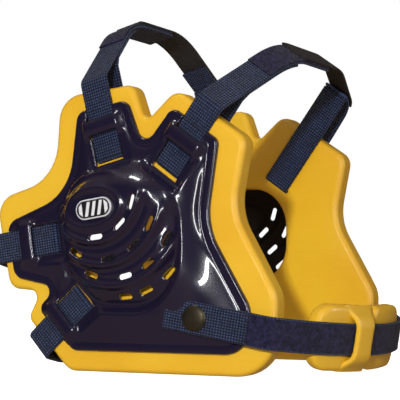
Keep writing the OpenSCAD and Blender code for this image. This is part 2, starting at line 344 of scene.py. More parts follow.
def solid(name, flat, corners, outer, inner, side, finish, wall_rows=1):
    """Closed mesh between two sheets. outer and inner are distances from the middle plane in
    millimetres at each point, and side is -1 on the wearer's right and 1 on the left."""
    count = len(flat)
    lines = np.sort(np.concatenate([corners[:, [0, 1]], corners[:, [1, 2]], corners[:, [2, 0]]]), 1)
    unique, times = np.unique(lines, axis=0, return_counts=True)
    rim = {tuple(e) for e in unique[times == 1]}
    border = [(a, b) for tri in corners for a, b in ((tri[0], tri[1]), (tri[1], tri[2]), (tri[2], tri[0]))
              if (min(a, b), max(a, b)) in rim]
    edge_points = sorted({p for pair in border for p in pair})
    extra = {}
    xs, ys = [flat, flat], [outer, inner]
    for row in range(1, wall_rows):
        share = row / wall_rows
        for p in edge_points:
            extra[row, p] = 2 * count + len(extra)
        xs.append(flat[edge_points])
        ys.append(outer[edge_points] * (1 - share) + inner[edge_points] * share)

    def level(row, p):
        return p if row == 0 else p + count if row == wall_rows else extra[row, p]

    faces = [tuple(f) for f in corners] + [tuple(f[::-1] + count) for f in corners]
    for a, b in border:
        for row in range(wall_rows):
            faces.append((level(row, b), level(row, a), level(row + 1, a), level(row + 1, b)))
    xz, y = np.concatenate(xs), np.concatenate(ys)
    places = np.stack([xz[:, 0] * MM + snap.x, side * y * MM, xz[:, 1] * MM], 1)
    if side > 0:
        faces = [f[::-1] for f in faces]
    return shown(name, places, faces, finish)


def shown(name, places, faces, finish):
    mesh = bpy.data.meshes.new(name)
    mesh.from_pydata([tuple(p) for p in places], [], [tuple(int(k) for k in f) for f in faces])
    mesh.polygons.foreach_set("use_smooth", [True] * len(mesh.polygons))
    mesh.materials.append(finish.material)
    mesh.update()
    piece = bpy.data.objects.new(name, mesh)
    bpy.context.scene.collection.objects.link(piece)
    return piece


def dipped_foam(name):
    """Yellow skin with a soft gloss, slight mottling and shallow wrinkles."""
    foam = Finish(name, Coat_Weight=0.22, Coat_Roughness=0.12, Subsurface_Weight=0.06,
                  Subsurface_Radius=(0.006, 0.003, 0.001))
    mottle = foam.noise(22, 4)
    fine = foam.noise(900, 2)
    wrinkle = foam.noise(70, 3, 0.6, stretch=(0.35, 1, 1.9))
    foam.set(Base_Color=foam.tint(foam.step(mottle, 0.3, 0.7), (0.80, 0.445, 0.016), (0.85, 0.52, 0.024)),
             Roughness=0.34 + 0.16 * mottle)
    foam.bump(wrinkle * 0.8 + fine * 0.06 + mottle * 0.5, 0.0012, 0.35)
    return foam


pad_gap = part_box("left_foam_pad")[0].y / MM
pad_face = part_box("left_foam_pad")[1].y / MM
pad_edge = 2.8
PAD = [[-83, 142.5, 14], [-39, 147, 6], [-32, 127, 4], [-14, 143, 8], [25, 116.5, 8],
       [18, 81, 30], [41, 40, 18], [40, 0, 22], [-77, 0, 10], [-102.5, 27, 5],
       [-95, 41, 4], [-114, 42.5, 7], [-123.5, 89.5, 12], [-86, 100.5, 25]]
EAR = [[-71, 45, 22], [-13, 45, 22], [-13, 100, 22], [-71, 100, 22]]
# Each head strap: slit x, slit z, tilt from vertical towards +X, height of the
# pad's end above the slit, height of the arch, half its flat top, and a shoulder
# over the left guard if the arch has one
STRAPS = {"crown": (-51, 109, -14, 38.3, 78, 30),
          "forehead": (-18, 102, 36, 36.5, 77, 30, (72, 60, 12)),
          "upper_back": (-83, 69, -99, 34, 52, 44), "lower_back": (-66.5, 38, -132, 34, 44, 52)}
strap_width = 16


def strap_patch(strap, low, high, half):
    """Outline round a stretch of a strap where it lies on the guard."""
    x, z, tilt = strap[0], strap[1], math.radians(strap[2])
    along, across = np.array([math.sin(tilt), math.cos(tilt)]), np.array([math.cos(tilt), -math.sin(tilt)])
    return np.array([[x, z] + u * across + v * along
                     for u, v in ((-half, low), (half, low), (half, high), (-half, high))])


def round_edge(depth, radius):
    """How far a full round edge has dropped at a distance from the edge."""
    return radius - np.sqrt(np.maximum(radius ** 2 - (radius - np.minimum(depth, radius)) ** 2, 0))


yellow_skin = dipped_foam("yellow_dipped_foam")
pad_outline, ear_outline = rounded(PAD), rounded(EAR)
slits = [strap_patch(s, -0.95, 1.0, strap_width / 2 + 0.4) for s in STRAPS.values()]
pad_flat, pad_corners = cut_sheet(pad_outline, slits, 2.2, [0.1, 0.4, 0.9, 1.5, 2.1, pad_edge],
                                  rimmed=[ear_outline])
edge_depth = np.minimum(distance(pad_flat, pad_outline), distance(pad_flat, ear_outline))
puff = 0.45 * np.sin(pad_flat[:, 0] / 17 + 1) * np.sin(pad_flat[:, 1] / 13) * np.clip(edge_depth / 9, 0, 1)
crease_band = np.exp(-((pad_flat[:, 1] - 67 + 0.15 * pad_flat[:, 0]) / 7) ** 2)
crease_band = crease_band * np.clip(edge_depth / 12, 0, 1)
crease = 0.28 * crease_band * np.sin(pad_flat[:, 1] * 1.25 + 0.5 * np.sin(pad_flat[:, 0] / 5))
for name, side in (("right", -1), ("left", 1)):
    drop = round_edge(edge_depth, pad_edge)
    pad = solid(f"{name}_pad", pad_flat, pad_corners, pad_face - drop,
                pad_gap + drop + puff * 0.6 + 0.3 + crease, side, yellow_skin, wall_rows=4)
    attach(pad, "headgear")
    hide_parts(f"{name}_foam_pad")


# ---- Moulded shells ----
# A thin navy plastic cup is vacuum formed over each pad: a rolled rim, a dome
# over the ear in four curling steps with vents, and a hump over each strap.
def moulded_navy(name):
    """Deep navy plastic with a wet gloss, faint ripples and fine scratches."""
    navy = Finish(name, Coat_Weight=1.0, Coat_Roughness=0.035, Coat_IOR=1.55)
    ripple = navy.noise(55, 2)
    haze = navy.noise(14, 3)
    scratch = navy.noise(300, 2, 0.6, stretch=(1, 1, 0.05))
    navy.set(Base_Color=navy.tint(haze.clip(), (0.008, 0.006, 0.018), (0.014, 0.011, 0.034)),
             Roughness=0.16 + 0.12 * haze + 0.05 * scratch)
    navy.bump(ripple * 0.9 + scratch * 0.04, 0.0005, 0.35)
    return navy


def smooth(value, low=0.0, high=1.0):
    share = np.clip((value - low) / (high - low), 0, 1)
    return share * share * (3 - 2 * share)


SHELL = [[-71, 134, 6], [-41, 139, 6], [-31.5, 114, 5], [-15, 134, 5], [11, 116, 5],
         [4.5, 74, 34], [28, 34, 14], [28, 10.5, 14], [-73, 10.5, 7], [-95, 32, 5],
         [-83.5, 43, 4], [-109.5, 48, 7], [-115, 77, 8], [-76, 92, 28]]
DOME = [[-80, 30, 30], [-7, 30, 30], [-7, 107, 30], [-80, 107, 30]]
# Vent rows: centre x, centre z, radius, angles of the slots
VENTS = [(-54.5, 92.5, 24, (-16, -47, -84)), (-51, 89, 31.5, (-26, -51, -81, -117)),
         (-46.5, 83.5, 35.5, (-27, -52, -76, -108)), (-44, 78.5, 40, (-44, -66, -84))]
# Steps of the dome: centre x, centre z, radius, first and last angle, drop
STEPS = [(-54.5, 92.5, 27.6, -132, -16, 2.5), (-51, 89, 35.6, -130, -22, 2.6),
         (-46.5, 83.5, 40.6, -118, -26, 2.4)]
BADGE_AT, BADGE_TILT = (-52.8, 83.0), 8
bridge_low, bridge_high = 13.8, 21.5
shell_outline, dome_outline = rounded(SHELL), rounded(DOME)


def vent_slot(x, z, radius, angle, length=8.0, width=2.9, steps=6):
    """Stadium that lies along its row's circle."""
    turn = math.radians(angle)
    middle = np.array([x + radius * math.cos(turn), z + radius * math.sin(turn)])
    along, across = np.array([-math.sin(turn), math.cos(turn)]), np.array([math.cos(turn), math.sin(turn)])
    points = []
    for end in (1, -1):
        for k in range(steps + 1):
            a = math.pi * k / steps
            points.append(middle + end * (along * ((length - width) / 2 + width / 2 * math.sin(a))
                                          + across * width / 2 * math.cos(a)))
    return np.array(points)


def along_strap(flat, strap):
    """Distance along and across a strap for each point of the guard."""
    tilt = math.radians(strap[2])
    away = flat - np.array(strap[:2])
    return (away @ np.array([math.sin(tilt), math.cos(tilt)]),
            away @ np.array([math.cos(tilt), -math.sin(tilt)]))


def ring_distance(flat, centre, half_x, half_z, tilt):
    """Roughly how far each point is outside an oval."""
    turn = math.radians(tilt)
    away = flat - np.array(centre)
    u = away @ np.array([math.cos(turn), math.sin(turn)])
    v = away @ np.array([-math.sin(turn), math.cos(turn)])
    return (np.sqrt((u / half_x) ** 2 + (v / half_z) ** 2) - 1) * min(half_x, half_z)


def crest(value, width):
    return np.exp(-(value / width) ** 2)


def shell_height(flat):
    """Height of the shell's outside above the pad's face, in millimetres."""
    edge = distance(flat, shell_outline)
    foot = distance(flat, dome_outline) * np.where(inside(flat, dome_outline), 1, -1)
    plate = 2.1 + 2.6 * smooth(edge, 2, 20)
    # a broad shoulder runs down the front of the dome
    shoulder = 4.0 * crest(flat[:, 0] + 9.5 - 0.06 * (flat[:, 1] - 70), 10) * smooth(flat[:, 1], 18, 52) \
        * (1 - smooth(flat[:, 1], 96, 114)) * smooth(edge, 1, 9)
    plate = plate + shoulder
    height = plate + (14.0 - plate) * smooth(foot, -1.5, 13.5) ** 0.8
    for x, z, radius, first, last, drop in STEPS:
        away = flat - np.array([x, z])
        reach_out = np.linalg.norm(away, axis=1) - radius
        angle = np.degrees(np.arctan2(away[:, 1], away[:, 0]))
        angle = np.where(angle > 90, angle - 360, angle)
        share = smooth(angle, first - 22, first + 14) * (1 - smooth(angle, last - 4, last + 22)) \
            * smooth(foot, -1, 5)
        height = height - share * drop * smooth(reach_out, -1.0, 1.9)
        height = height + share * (0.75 * crest(reach_out + 1.3, 1.2) - 0.55 * crest(reach_out + 4.4, 2.0)
                                   - 0.35 * crest(reach_out - 2.6, 1.1))
    # the basin that holds the badge, its lip, and the curl round it
    oval = ring_distance(flat, (-54.6, 83.4), 16.4, 9.8, 8)
    height = np.where(oval < 6, height + 0.95 * crest(oval, 1.15) - 0.25 * smooth(-oval, 0.4, 3), height)
    curl = ring_distance(flat, (-57.0, 85.0), 23.5, 16.2, 24)
    away = flat - np.array([-57.0, 85.0])
    bearing = np.degrees(np.arctan2(away[:, 1], away[:, 0]))
    share = smooth(bearing, 34, 70) * (1 - smooth(bearing, 150, 178)) + smooth(-bearing, 150, 178)
    height = height + share * (1.15 * crest(curl, 1.3) - 1.1 * crest(curl + 3.4, 2.0)
                               - 0.5 * crest(curl - 2.6, 1.4))
    # the rolled rim
    rim = 0.25 + 2.35 * np.sqrt(np.clip(1 - (1 - np.clip(edge / 2.5, 0, 1)) ** 2, 0, 1))
    rim = rim - 0.8 * crest(edge - 4.6, 1.2)
    blend_in = smooth(edge, 4.6, 7)
    height = np.where(edge < 7, np.minimum(rim, height) * (1 - blend_in) + height * blend_in, height)
    # strap humps, and flat land beside the straps
    for strap in STRAPS.values():
        along, across = along_strap(flat, strap)
        land = (1 - smooth(np.abs(across), 10.0, 14.5)) * smooth(along, -6.5, -3.5)
        height = height * (1 - land) + np.minimum(height, 2.5) * land
        middle, half = (bridge_low + bridge_high) / 2, (bridge_high - bridge_low) / 2
        hump = 3.5 + 1.5 * np.sqrt(np.clip(1 - ((along - middle) / (half + 0.4)) ** 2, 0, 1))
        share = 1 - smooth(np.abs(across), 8.8, 13.6)
        share = share * (1 - smooth(np.abs(along - middle), half + 0.2, half + 3.2))
        height = height * (1 - share) + np.maximum(hump, height) * share
    return height


navy_plastic = moulded_navy("navy_moulded_plastic")
# the side that faced away from the mould stays dull; its colour is darker than the outside's as painted
# shade inside the cup
navy_inside_painted_shade = Finish("navy_plastic_inside_painted_shade")
grain = navy_inside_painted_shade.noise(700, 3)
navy_inside_painted_shade.set(Base_Color=navy_inside_painted_shade.tint(grain, (0.004, 0.004, 0.008), (0.009, 0.008, 0.017)),
                Roughness=0.62 + 0.2 * grain)
navy_inside_painted_shade.bump(grain, 0.0001, 0.3)
half_slot = strap_width / 2 + 0.1
windows = [strap_patch(s, -2.3, bridge_low, half_slot) for s in STRAPS.values()]
channels = [strap_patch(s, bridge_high, 60, half_slot) for s in STRAPS.values()]
vents = [vent_slot(x, z, r, a) for x, z, r, angles in VENTS for a in angles]
shell_flat, shell_corners = cut_sheet(shell_outline, windows + vents, 1.0,
                                      [0.12, 0.45, 0.95, 1.6, 2.5], notches=channels)
outside = shell_height(shell_flat)
wall = 1.5
underside = np.maximum(outside - wall, np.minimum(0.08, outside * 0.3))
for name, side in (("right", -1), ("left", 1)):
    shell = solid(f"{name}_cup", shell_flat, shell_corners, pad_face + outside,
                  pad_face + underside, side, navy_plastic)
    # the cup's inner sheet takes the finish whose darker colour is painted shade
    shell.data.materials.append(navy_inside_painted_shade.material)
    inner_faces = len(shell_corners)
    for k in range(inner_faces, 2 * inner_faces):
        shell.data.polygons[k].material_index = 1
    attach(shell, "headgear")
    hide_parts(f"{name}_shell")


# ---- Badges ----
# A small enamelled plate is stuck into each basin: a bright rim round black
# enamel with a plain mark of slanted bars.
def stadium(half_straight, radius, steps=16):
    points = []
    for end in (1, -1):
        for k in range(steps + 1):
            a = -math.pi / 2 + math.pi * k / steps
            points.append((end * (half_straight + radius * math.cos(a)), end * radius * math.sin(a)))
    return np.array(points)


def badge_plate(name, outline, low, high, bevel, side, finish):
    """A raised plate with a rounded edge, in the badge's own place on the shell."""
    turn = math.radians(BADGE_TILT)
    spin = np.array([[math.cos(turn), math.sin(turn)], [-math.sin(turn), math.cos(turn)]])
    middle = outline.mean(0)
    places, faces, count = [], [], len(outline)
    for inset, level in ((0, low), (0, high - bevel), (bevel * 0.3, high - bevel * 0.3), (bevel, high)):
        away = outline - middle
        ring = middle + away * (1 - inset / np.linalg.norm(away, axis=1))[:, None]
        ring = ring @ spin + np.array(BADGE_AT)
        places += [(snap.x + x * MM, side * level * MM, z * MM) for x, z in ring]
    for row in range(3):
        faces += [(row * count + k, row * count + (k + 1) % count, (row + 1) * count + (k + 1) % count,
                   (row + 1) * count + k) for k in range(count)]
    faces += [tuple(range(3 * count, 4 * count)), tuple(range(count))[::-1]]
    if side > 0:
        faces = [f[::-1] for f in faces]
    piece = shown(name, places, faces, finish)
    piece.data.polygons.foreach_set("use_smooth", [False] * len(piece.data.polygons))
    return piece


bright = Finish("brushed_silver", Metallic=0.15, Coat_Weight=0.4)
bright.set(Base_Color=bright.tint(bright.noise(500, 2), (0.60, 0.61, 0.64), (0.82, 0.83, 0.86)),
           Roughness=0.22 + 0.2 * bright.noise(260, 2))
enamel = Finish("black_enamel", Coat_Weight=0.8, Coat_Roughness=0.06)
enamel.set(Base_Color=enamel.tint(enamel.noise(350, 2), (0.008, 0.008, 0.010), (0.02, 0.02, 0.024)),
           Roughness=0.25 + 0.1 * enamel.noise(90, 2))
ink = Finish("white_ink", Coat_Weight=0.5, Coat_Roughness=0.1)
ink.set(Base_Color=ink.tint(ink.noise(420, 3), (0.66, 0.68, 0.70), (0.80, 0.81, 0.83)),
        Roughness=0.35 + 0.15 * ink.noise(200, 2))
badge_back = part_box("left_badge")[0].y / MM
# Corners of the white bars of the mark, in the badge's own frame
slant = [(-0.9, -3.6), (0.9, -3.6), (2.9, 3.6), (1.1, 3.6)]
BARS = [[(-8.4, -1.6), (-6.4, -3.5), (-6.4, 3.5), (-8.4, 1.6)],
        *([(x + step, z) for x, z in slant] for step in (-4.3, -0.7, 2.9)),
        [(6.6, -3.5), (8.6, -1.6), (8.6, 1.6), (6.6, 3.5)]]
for name, side in (("right", -1), ("left", 1)):
    silver = badge_plate(f"{name}_badge_rim", stadium(5.3, 5.1), badge_back - 0.6,
                         badge_back + 0.75, 0.35, side, bright)
    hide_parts(f"{name}_badge")
    face = badge_plate(f"{name}_badge_enamel", stadium(5.3, 4.35), badge_back,
                       badge_back + 0.82, 0.05, side, enamel)
    marks = [badge_plate(f"{name}_badge_bar_{k}", np.array(bar), badge_back,
                         badge_back + 0.9, 0.05, side, ink) for k, bar in enumerate(BARS)]
    for piece in (silver, face, *marks):
        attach(piece, "headgear")


# ---- Head straps ----
# Four straps of ribbed navy webbing join the guards. Each end goes down the
# shell, through the slit and back up inside, where it is sewn to itself.
def bent(corners, steps=8):
    """Open path whose inner corners (across, height, radius) are rounded."""
    points = [np.array(corners[0][:2], float)]
    for before, corner, after in zip(corners, corners[1:], corners[2:]):
        middle = np.array(corner[:2], float)
        back, ahead = np.array(before[:2]) - middle, np.array(after[:2]) - middle
        back, ahead = back / np.linalg.norm(back), ahead / np.linalg.norm(ahead)
        half = math.acos(np.clip(back @ ahead, -1, 1)) / 2
        if half > math.radians(89.5):
            points.append(middle)
            continue
        centre = middle + (back + ahead) / np.linalg.norm(back + ahead) * corner[2] / math.sin(half)
        start, end = (middle + way * corner[2] / math.tan(half) - centre for way in (back, ahead))
        first = math.atan2(start[1], start[0])
        turn = (math.atan2(end[1], end[0]) - first + 3 * math.pi) % (2 * math.pi) - math.pi
        points += [centre + corner[2] * np.array([math.cos(first + turn * k / steps),
                                                  math.sin(first + turn * k / steps)])
                   for k in range(steps + 1)]
    points.append(np.array(corners[-1][:2], float))
    return np.array(points)


def evenly(path, pitch):
    """The path with points at even steps along it."""
    run = np.concatenate([[0], np.cumsum(np.linalg.norm(np.diff(path, axis=0), axis=1))])
    count = max(2, round(run[-1] / pitch) + 1)
    at = np.linspace(0, run[-1], count)
    return np.stack([np.interp(at, run, path[:, k]) for k in range(path.shape[1])], 1)


def beside(path, gap):
    """The path moved to its left by a gap."""
    run = np.gradient(path, axis=0)
    normal = np.stack([-run[:, 1], run[:, 0]], 1) / np.linalg.norm(run, axis=1)[:, None]
    return path + gap * normal


strap_out = pad_face + 0.15 + 0.8
strap_in = pad_gap - 0.15 - 0.8
web_thick = 1.6
arch_step = 0.5
bend_over = 4.5


def arch(strap):
    """Centreline of a strap over the head, from the right slit to the left one."""
    foot = strap[3] + bend_over
    path = bent([(-strap_out, 0, 0), (-strap_out, foot, 5), (-strap[5], strap[4], 40),
                 (strap[5], strap[4], 40), *strap[6:], (strap_out, foot, 5), (strap_out, 0, 0)])
    return evenly(path, arch_step)


def between(path, low, high):
    return path[(path[:, 0] >= low) & (path[:, 0] <= high)]


def tube_faces(rows, count, first=0):
    """The faces between rings of count points each."""
    return [(first + i * count + k, first + i * count + (k + 1) % count,
             first + (i + 1) * count + (k + 1) % count, first + (i + 1) * count + k)
            for i in range(rows - 1) for k in range(count)]


def strip(name, path, place, width, thick, finish, pitch=0.5, relief=None, columns=22,
          roundness=0.45, taper=None):
    """A flat strip swept along a path of (across, height) in a strap's frame. place turns
    (width, across, height) in millimetres into the row frame. relief(along, across) raises
    both faces, in millimetres."""
    path = evenly(path, pitch)
    run = np.gradient(path, axis=0)
    normal = np.stack([-run[:, 1], run[:, 0]], 1) / np.linalg.norm(run, axis=1)[:, None]
    along = np.concatenate([[0], np.cumsum(np.linalg.norm(np.diff(path, axis=0), axis=1))])
    half, edge = thick / 2, thick / 2 * roundness * 2
    corner = [(math.sin(a) * edge, half - edge * (1 - math.cos(a))) for a in np.radians([0, 30, 60, 90])]
    top = [(u, half) for u in np.linspace(-width / 2 + edge, width / 2 - edge, columns)]
    right = [(width / 2 - edge + du, dv) for du, dv in corner[1:]]
    section = top + right + [(u, -v) for u, v in right[::-1][(0 if half > edge else 1):]] \
        + [(u, -half) for u, _ in top[::-1]] + [(-u, -v) for u, v in right] \
        + [(-u, v) for u, v in right[::-1][(0 if half > edge else 1):]]
    section = np.array(section)
    count, rows = len(section), len(path)
    places, strands = [], []
    for i in range(rows):
        lift = np.zeros(count)
        if relief is not None:
            on_face = np.abs(section[:, 1]) > half * 0.98
            lift = relief(along[i], section[:, 0]) * np.sign(section[:, 1]) * on_face
        scale = 1 if taper is None else taper(along[i] / along[-1])
        for (u, v), extra in zip(section, lift):
            spot = path[i] + normal[i] * (v + extra)
            places.append(place(u * scale, spot[0], spot[1]))
            strands.append((along[i] * MM, u * MM, 0))
    faces = tube_faces(rows, count)
    for i, flip in ((0, 1), (rows - 1, -1)):
        faces.append(tuple(i * count + k for k in range(count))[::flip])
    piece = shown(name, places, faces, finish)
    piece.data.polygons[-1].use_smooth = piece.data.polygons[-2].use_smooth = False
    attribute = piece.data.attributes.new("strand", "FLOAT_VECTOR", "POINT")
    attribute.data.foreach_set("vector", np.array(strands, np.float32).ravel())
    outward_faces(piece)
    return piece


def outward_faces(piece):
    """Turns the faces out if they point in."""
    work = bmesh.new()
    work.from_mesh(piece.data)
    if work.calc_volume(signed=True) < 0:
        bmesh.ops.reverse_faces(work, faces=work.faces)
        work.to_mesh(piece.data)
    work.free()


rib, fleck = 1.5, 1.35


def weave_relief(along, across):
    """Ribs of nylon webbing: rows of short yarns, each row half a yarn on."""
    a = math.pi * along / (2 * rib)
    b = math.pi * across / (2 * fleck)
    return 0.16 * (np.cos(a + b) ** 2 * np.cos(a - b) ** 2 + np.sin(a + b) ** 2 * np.sin(a - b) ** 2) - 0.05


def webbing_finish(name, base, thread, share=1.0):
    """Ribbed nylon: dark navy yarns, with paler colour on the rib tops in step with the ribs as a painted
    sheen.
    """
    web = Finish(name, Sheen_Weight=0.06, Sheen_Roughness=0.4)
    along, across = web.strand()
    a, b = along * (math.pi / (2 * rib * MM)), across * (math.pi / (2 * fleck * MM))
    up, down = (a + b).cos(), (a - b).cos()
    tops = up * up * down * down + (1 - up * up) * (1 - down * down)
    # the painted sheen on the rib tops is uneven from yarn to yarn
    sheen_unevenness = web.noise(700, 2)
    yarn = (along * (math.pi / (0.17 * MM))).cos()
    fuzz = web.noise(1500, 2)
    patches = web.noise(120, 2)
    # painted sheen: the rib tops take the paler colour (thread) where light would glint on the yarns
    painted_sheen = (web.step(tops, 0.40, 0.95) * (0.1 + 0.7 * patches + 1.3 * (sheen_unevenness - 0.35)) * share).clip()
    web.set(Base_Color=web.tint(painted_sheen, base, thread), Roughness=0.62 + 0.25 * fuzz)
    web.bump(tops + 0.25 * yarn * tops + 0.4 * fuzz, 0.0005, 0.9)
    return web


def strap_place(strap, mirror=1):
    """Turns a place in a strap's frame (width, across the head, height) into the row frame."""
    x, z, tilt = strap[0], strap[1], math.radians(strap[2])

    def place(u, y, h):
        return (snap.x + (x + u * math.cos(tilt) + h * math.sin(tilt)) * MM, mirror * y * MM,
                (z - u * math.sin(tilt) + h * math.cos(tilt)) * MM)

    return place


def loop_path(over, far, tail=None):
    """A strap's right half: the tail under the arch, down inside the guard, through the slit,
    up outside and over the head to far."""
    outer = over[over[:, 0] <= far]
    if tail is None:
        rising = between(over, 0.1 - strap_out, 0)
        joint = np.array([-strap_in, np.interp(-strap_in, rising[:, 0], rising[:, 1]) - 1.2])
        inner = np.array([joint])
    else:
        inner = between(beside(over, -web_thick), -strap_in + 2.5, tail)[::-1]
    corners = [(-strap_in, inner[-1][1] - 5, 0), (-strap_in, 0.75, 0), (-strap_in - 1.2, -0.1, 0),
               (-strap_out + 1.2, -0.1, 0), (-strap_out, 0.75, 0)]
    return np.concatenate([inner, np.array([c[:2] for c in corners]), outer[outer[:, 1] > 1.6]])


def thread_stitches(name, spots, way, place, finish, length=1.9, thick=0.34):
    """Short raised stitches, each a small bead of thread lying along way (u, s)."""
    places, faces = [], []
    rings, sides = 7, 6
    for u, y, h, normal, forward in spots:
        first = len(places)
        for i in range(rings):
            share = i / (rings - 1) * 2 - 1
            fat = thick * math.sqrt(max(0.02, 1 - share ** 4))
            for k in range(sides):
                a = 2 * math.pi * k / sides
                du = way[0] * share * length / 2 + math.cos(a) * fat * way[1]
                ds = way[1] * share * length / 2 + math.cos(a) * fat * way[0]
                rise = math.sin(a) * fat * 0.8 + 0.12
                spot = np.array([y, h]) + forward * ds + normal * rise
                places.append(place(u + du, spot[0], spot[1]))
        faces += tube_faces(rings, sides, first)
        faces += [tuple(first + k for k in range(sides))[::-1],
                  tuple(first + (rings - 1) * sides + k for k in range(sides))]
    piece = shown(name, places, faces, finish)
    outward_faces(piece)
    return piece


def seam_rows(path, starts, half, lift, pitch=2.4):
    """Stitch places in rows across a strip at distances along its path."""
    run = np.gradient(path, axis=0)
    run = run / np.linalg.norm(run, axis=1)[:, None]
    along = np.concatenate([[0], np.cumsum(np.linalg.norm(np.diff(path, axis=0), axis=1))])
    spots = []
    for start in starts:
        i = int(np.argmin(np.abs(along - start)))
        normal = np.array([-run[i][1], run[i][0]])
        for u in np.arange(-half, half + 0.01, pitch):
            spot = path[i] + normal * lift
            spots.append((u, spot[0], spot[1], normal * np.sign(lift), run[i]))
    return spots


# the second colour is the painted sheen on the rib tops
navy_webbing = webbing_finish("navy_ribbed_webbing", (0.004, 0.006, 0.018), (0.065, 0.110, 0.27), 1.15)
navy_thread = Finish("navy_thread", Sheen_Weight=0.08)
navy_thread.set(Base_Color=navy_thread.tint(navy_thread.noise(700, 2), (0.006, 0.007, 0.018),
                                            (0.03, 0.04, 0.085)),
                Roughness=0.5 + 0.2 * navy_thread.noise(1200, 2))


def loop_finish(name):
    """Brushed loop pile, matted in places."""
    pile = Finish(name, Sheen_Weight=0.05, Sheen_Roughness=0.4)
    clump, fibre = pile.noise(380, 4, 0.7), pile.noise(2200, 3, 0.8)
    matted = (pile.step(clump, 0.35, 0.7) * (0.4 + fibre)).clip()
    pile.set(Base_Color=pile.tint(matted, (0.004, 0.004, 0.018), (0.026, 0.023, 0.085)),
             Roughness=0.8 + 0.15 * fibre)
    pile.bump(clump + 0.6 * fibre, 0.0007, 1.0)
    return pile


def hook_finish(name):
    """Rows of tiny moulded hooks on a charcoal tape, with painted highlights on the hook rows."""
    hooks = Finish(name)
    along, across = hooks.strand()
    rows = (along * (2 * math.pi / (1.3 * MM))).cos() * (across * (2 * math.pi / (1.1 * MM))).cos()
    grit = hooks.noise(900, 3)
    # the hook rows are painted lighter as painted highlights on the hook tops; the grit is random tone
    glint_and_grit = (0.5 + 0.3 * rows + 0.4 * (grit - 0.5)).clip()
    hooks.set(Base_Color=hooks.tint(glint_and_grit, (0.010, 0.009, 0.009), (0.040, 0.036, 0.033)),
              Roughness=0.55 + 0.3 * grit)
    hooks.bump(rows + grit, 0.0003, 0.8)
    return hooks


loop_pile = loop_finish("navy_loop_pile")
hook_tape_finish = hook_finish("charcoal_hook_tape")
# Distances across the head, from the middle plane: where a hook tape's free tip
# and a loop patch start, where the right webbing, its patch and the tape end,
# and where the tail that is folded back inside the guard ends
tip_from, patch_from, right_end, patch_end = -22.0, -46.0, 14.0, 13.0
tape_ends = {"crown": 60, "forehead": 70, "upper_back": 60, "lower_back": 60}
tails = {"crown": -30, "forehead": -24, "upper_back": -30, "lower_back": -30}
tape_overlap = 12
patch_thick, tape_thick = 1.0, 1.15
patch_lift, tape_lift = 1.35, 2.6
seam_half = 6.6


def pile_relief(along, across):
    return 0.10 * np.sin(along * 5.3 + across * 1.7) * np.sin(across * 4.1 - along * 1.3) \
        + 0.07 * np.sin(along * 2.1 + across * 6.7)


def hook_relief(along, across):
    return 0.05 * math.cos(2 * math.pi * along / 1.3) * np.cos(2 * np.pi * across / 1.1)


for name, strap in STRAPS.items():
    place, from_left = strap_place(strap), strap_place(strap, -1)
    over, tape_end = arch(strap), tape_ends[name]
    right = strip(f"{name}_strap_right", loop_path(over, right_end, tails[name]), place, strap_width,
                  web_thick, navy_webbing, pitch=rib / 4, relief=weave_relief)
    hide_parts(f"{name}_webbing_right")
    left = strip(f"{name}_strap_left", loop_path(over[::-1] * (-1, 1), tape_overlap - tape_end),
                 from_left, strap_width, web_thick, navy_webbing, pitch=rib / 4, relief=weave_relief)
    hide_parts(f"{name}_webbing_left")
    patch = strip(f"{name}_loop_pile", beside(between(over, patch_from, patch_end), patch_lift), place,
                  strap_width - 0.3, patch_thick, loop_pile, pitch=0.6, relief=pile_relief, columns=26)
    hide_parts(f"{name}_loop_patch")
    tape_path = beside(between(over, tip_from, tape_end), tape_lift)
    tape = strip(f"{name}_hook_strip", tape_path, place, strap_width, tape_thick, hook_tape_finish,
                 pitch=0.65, relief=hook_relief, columns=20)
    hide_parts(f"{name}_hook_tape", f"{name}_hook_tip")
    seam = thread_stitches(f"{name}_seam", seam_rows(beside(over, 0), [27, 31], seam_half, 0.95),
                           (1, 0), place, navy_thread)
    tape_length = len(tape_path) * arch_step
    far_rows = seam_rows(tape_path, [tape_length - 9, tape_length - 4], seam_half, 0.62)
    far_seam = thread_stitches(f"{name}_tape_seam", far_rows, (1, 0), place, navy_thread)
    for piece in (right, left, patch, seam, far_seam):
        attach(piece, "headgear")
    tip_mid = place(0, -3.9, strap[4])
    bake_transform(tape)


# ---- Chin strap, tabs and snaps ----
# A strap of brushed loop fabric runs round the chin between two webbing tabs,
# which press onto the shells with domed snaps.
slope = math.radians(9.5)
tab_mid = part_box("left_chin_tab")[1].y / MM - 0.8
chin_reach, chin_bend, tab_back, tab_front = 71.0, 41.0, 17.0, 29.0
chin_rise = chin_reach - chin_bend
chin_radius = (tab_mid ** 2 + chin_rise ** 2) / (2 * chin_rise)
chin_end = math.degrees(math.asin(tab_mid / chin_radius))


def chin_place(u, y, forward):
    """Across the strap, to the left, and forward of the snaps along the sloping strap."""
    return (snap.x + (forward * math.cos(slope) - u * math.sin(slope)) * MM, y * MM,
            snap.z - (forward * math.sin(slope) + u * math.cos(slope)) * MM)


def chin_arc(angle, radius):
    return (radius * math.sin(math.radians(angle)),
            chin_reach - chin_radius + radius * math.cos(math.radians(angle)))


chin_path = bent([(-tab_mid, tab_front + 0.2, 0), (-tab_mid, chin_bend, 8)]
                 + [(*chin_arc(a, chin_radius), 12) for a in np.arange(-chin_end + 5, chin_end - 4, 2)]
                 + [(tab_mid, chin_bend, 8), (tab_mid, tab_front + 0.2, 0)], steps=4)
chin_pile = loop_finish("deep_navy_chin_pile")
chin_strap = strip("chin_band", chin_path, chin_place, strap_width, web_thick, chin_pile,
                   pitch=0.7, relief=pile_relief, columns=26)
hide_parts("chin_strap")
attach(chin_strap, "chin_strap")

# the woven selvedges of the chin strap stand a little proud
for edge, side in (("top", -1), ("bottom", 1)):
    cord = strip(f"chin_band_{edge}_edge", chin_path,
                 lambda u, y, f, side=side: chin_place(u + side * (strap_width / 2 - 0.55), y, f),
                 1.3, web_thick + 0.35, navy_webbing, pitch=0.6, columns=5)
    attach(cord, "chin_strap")

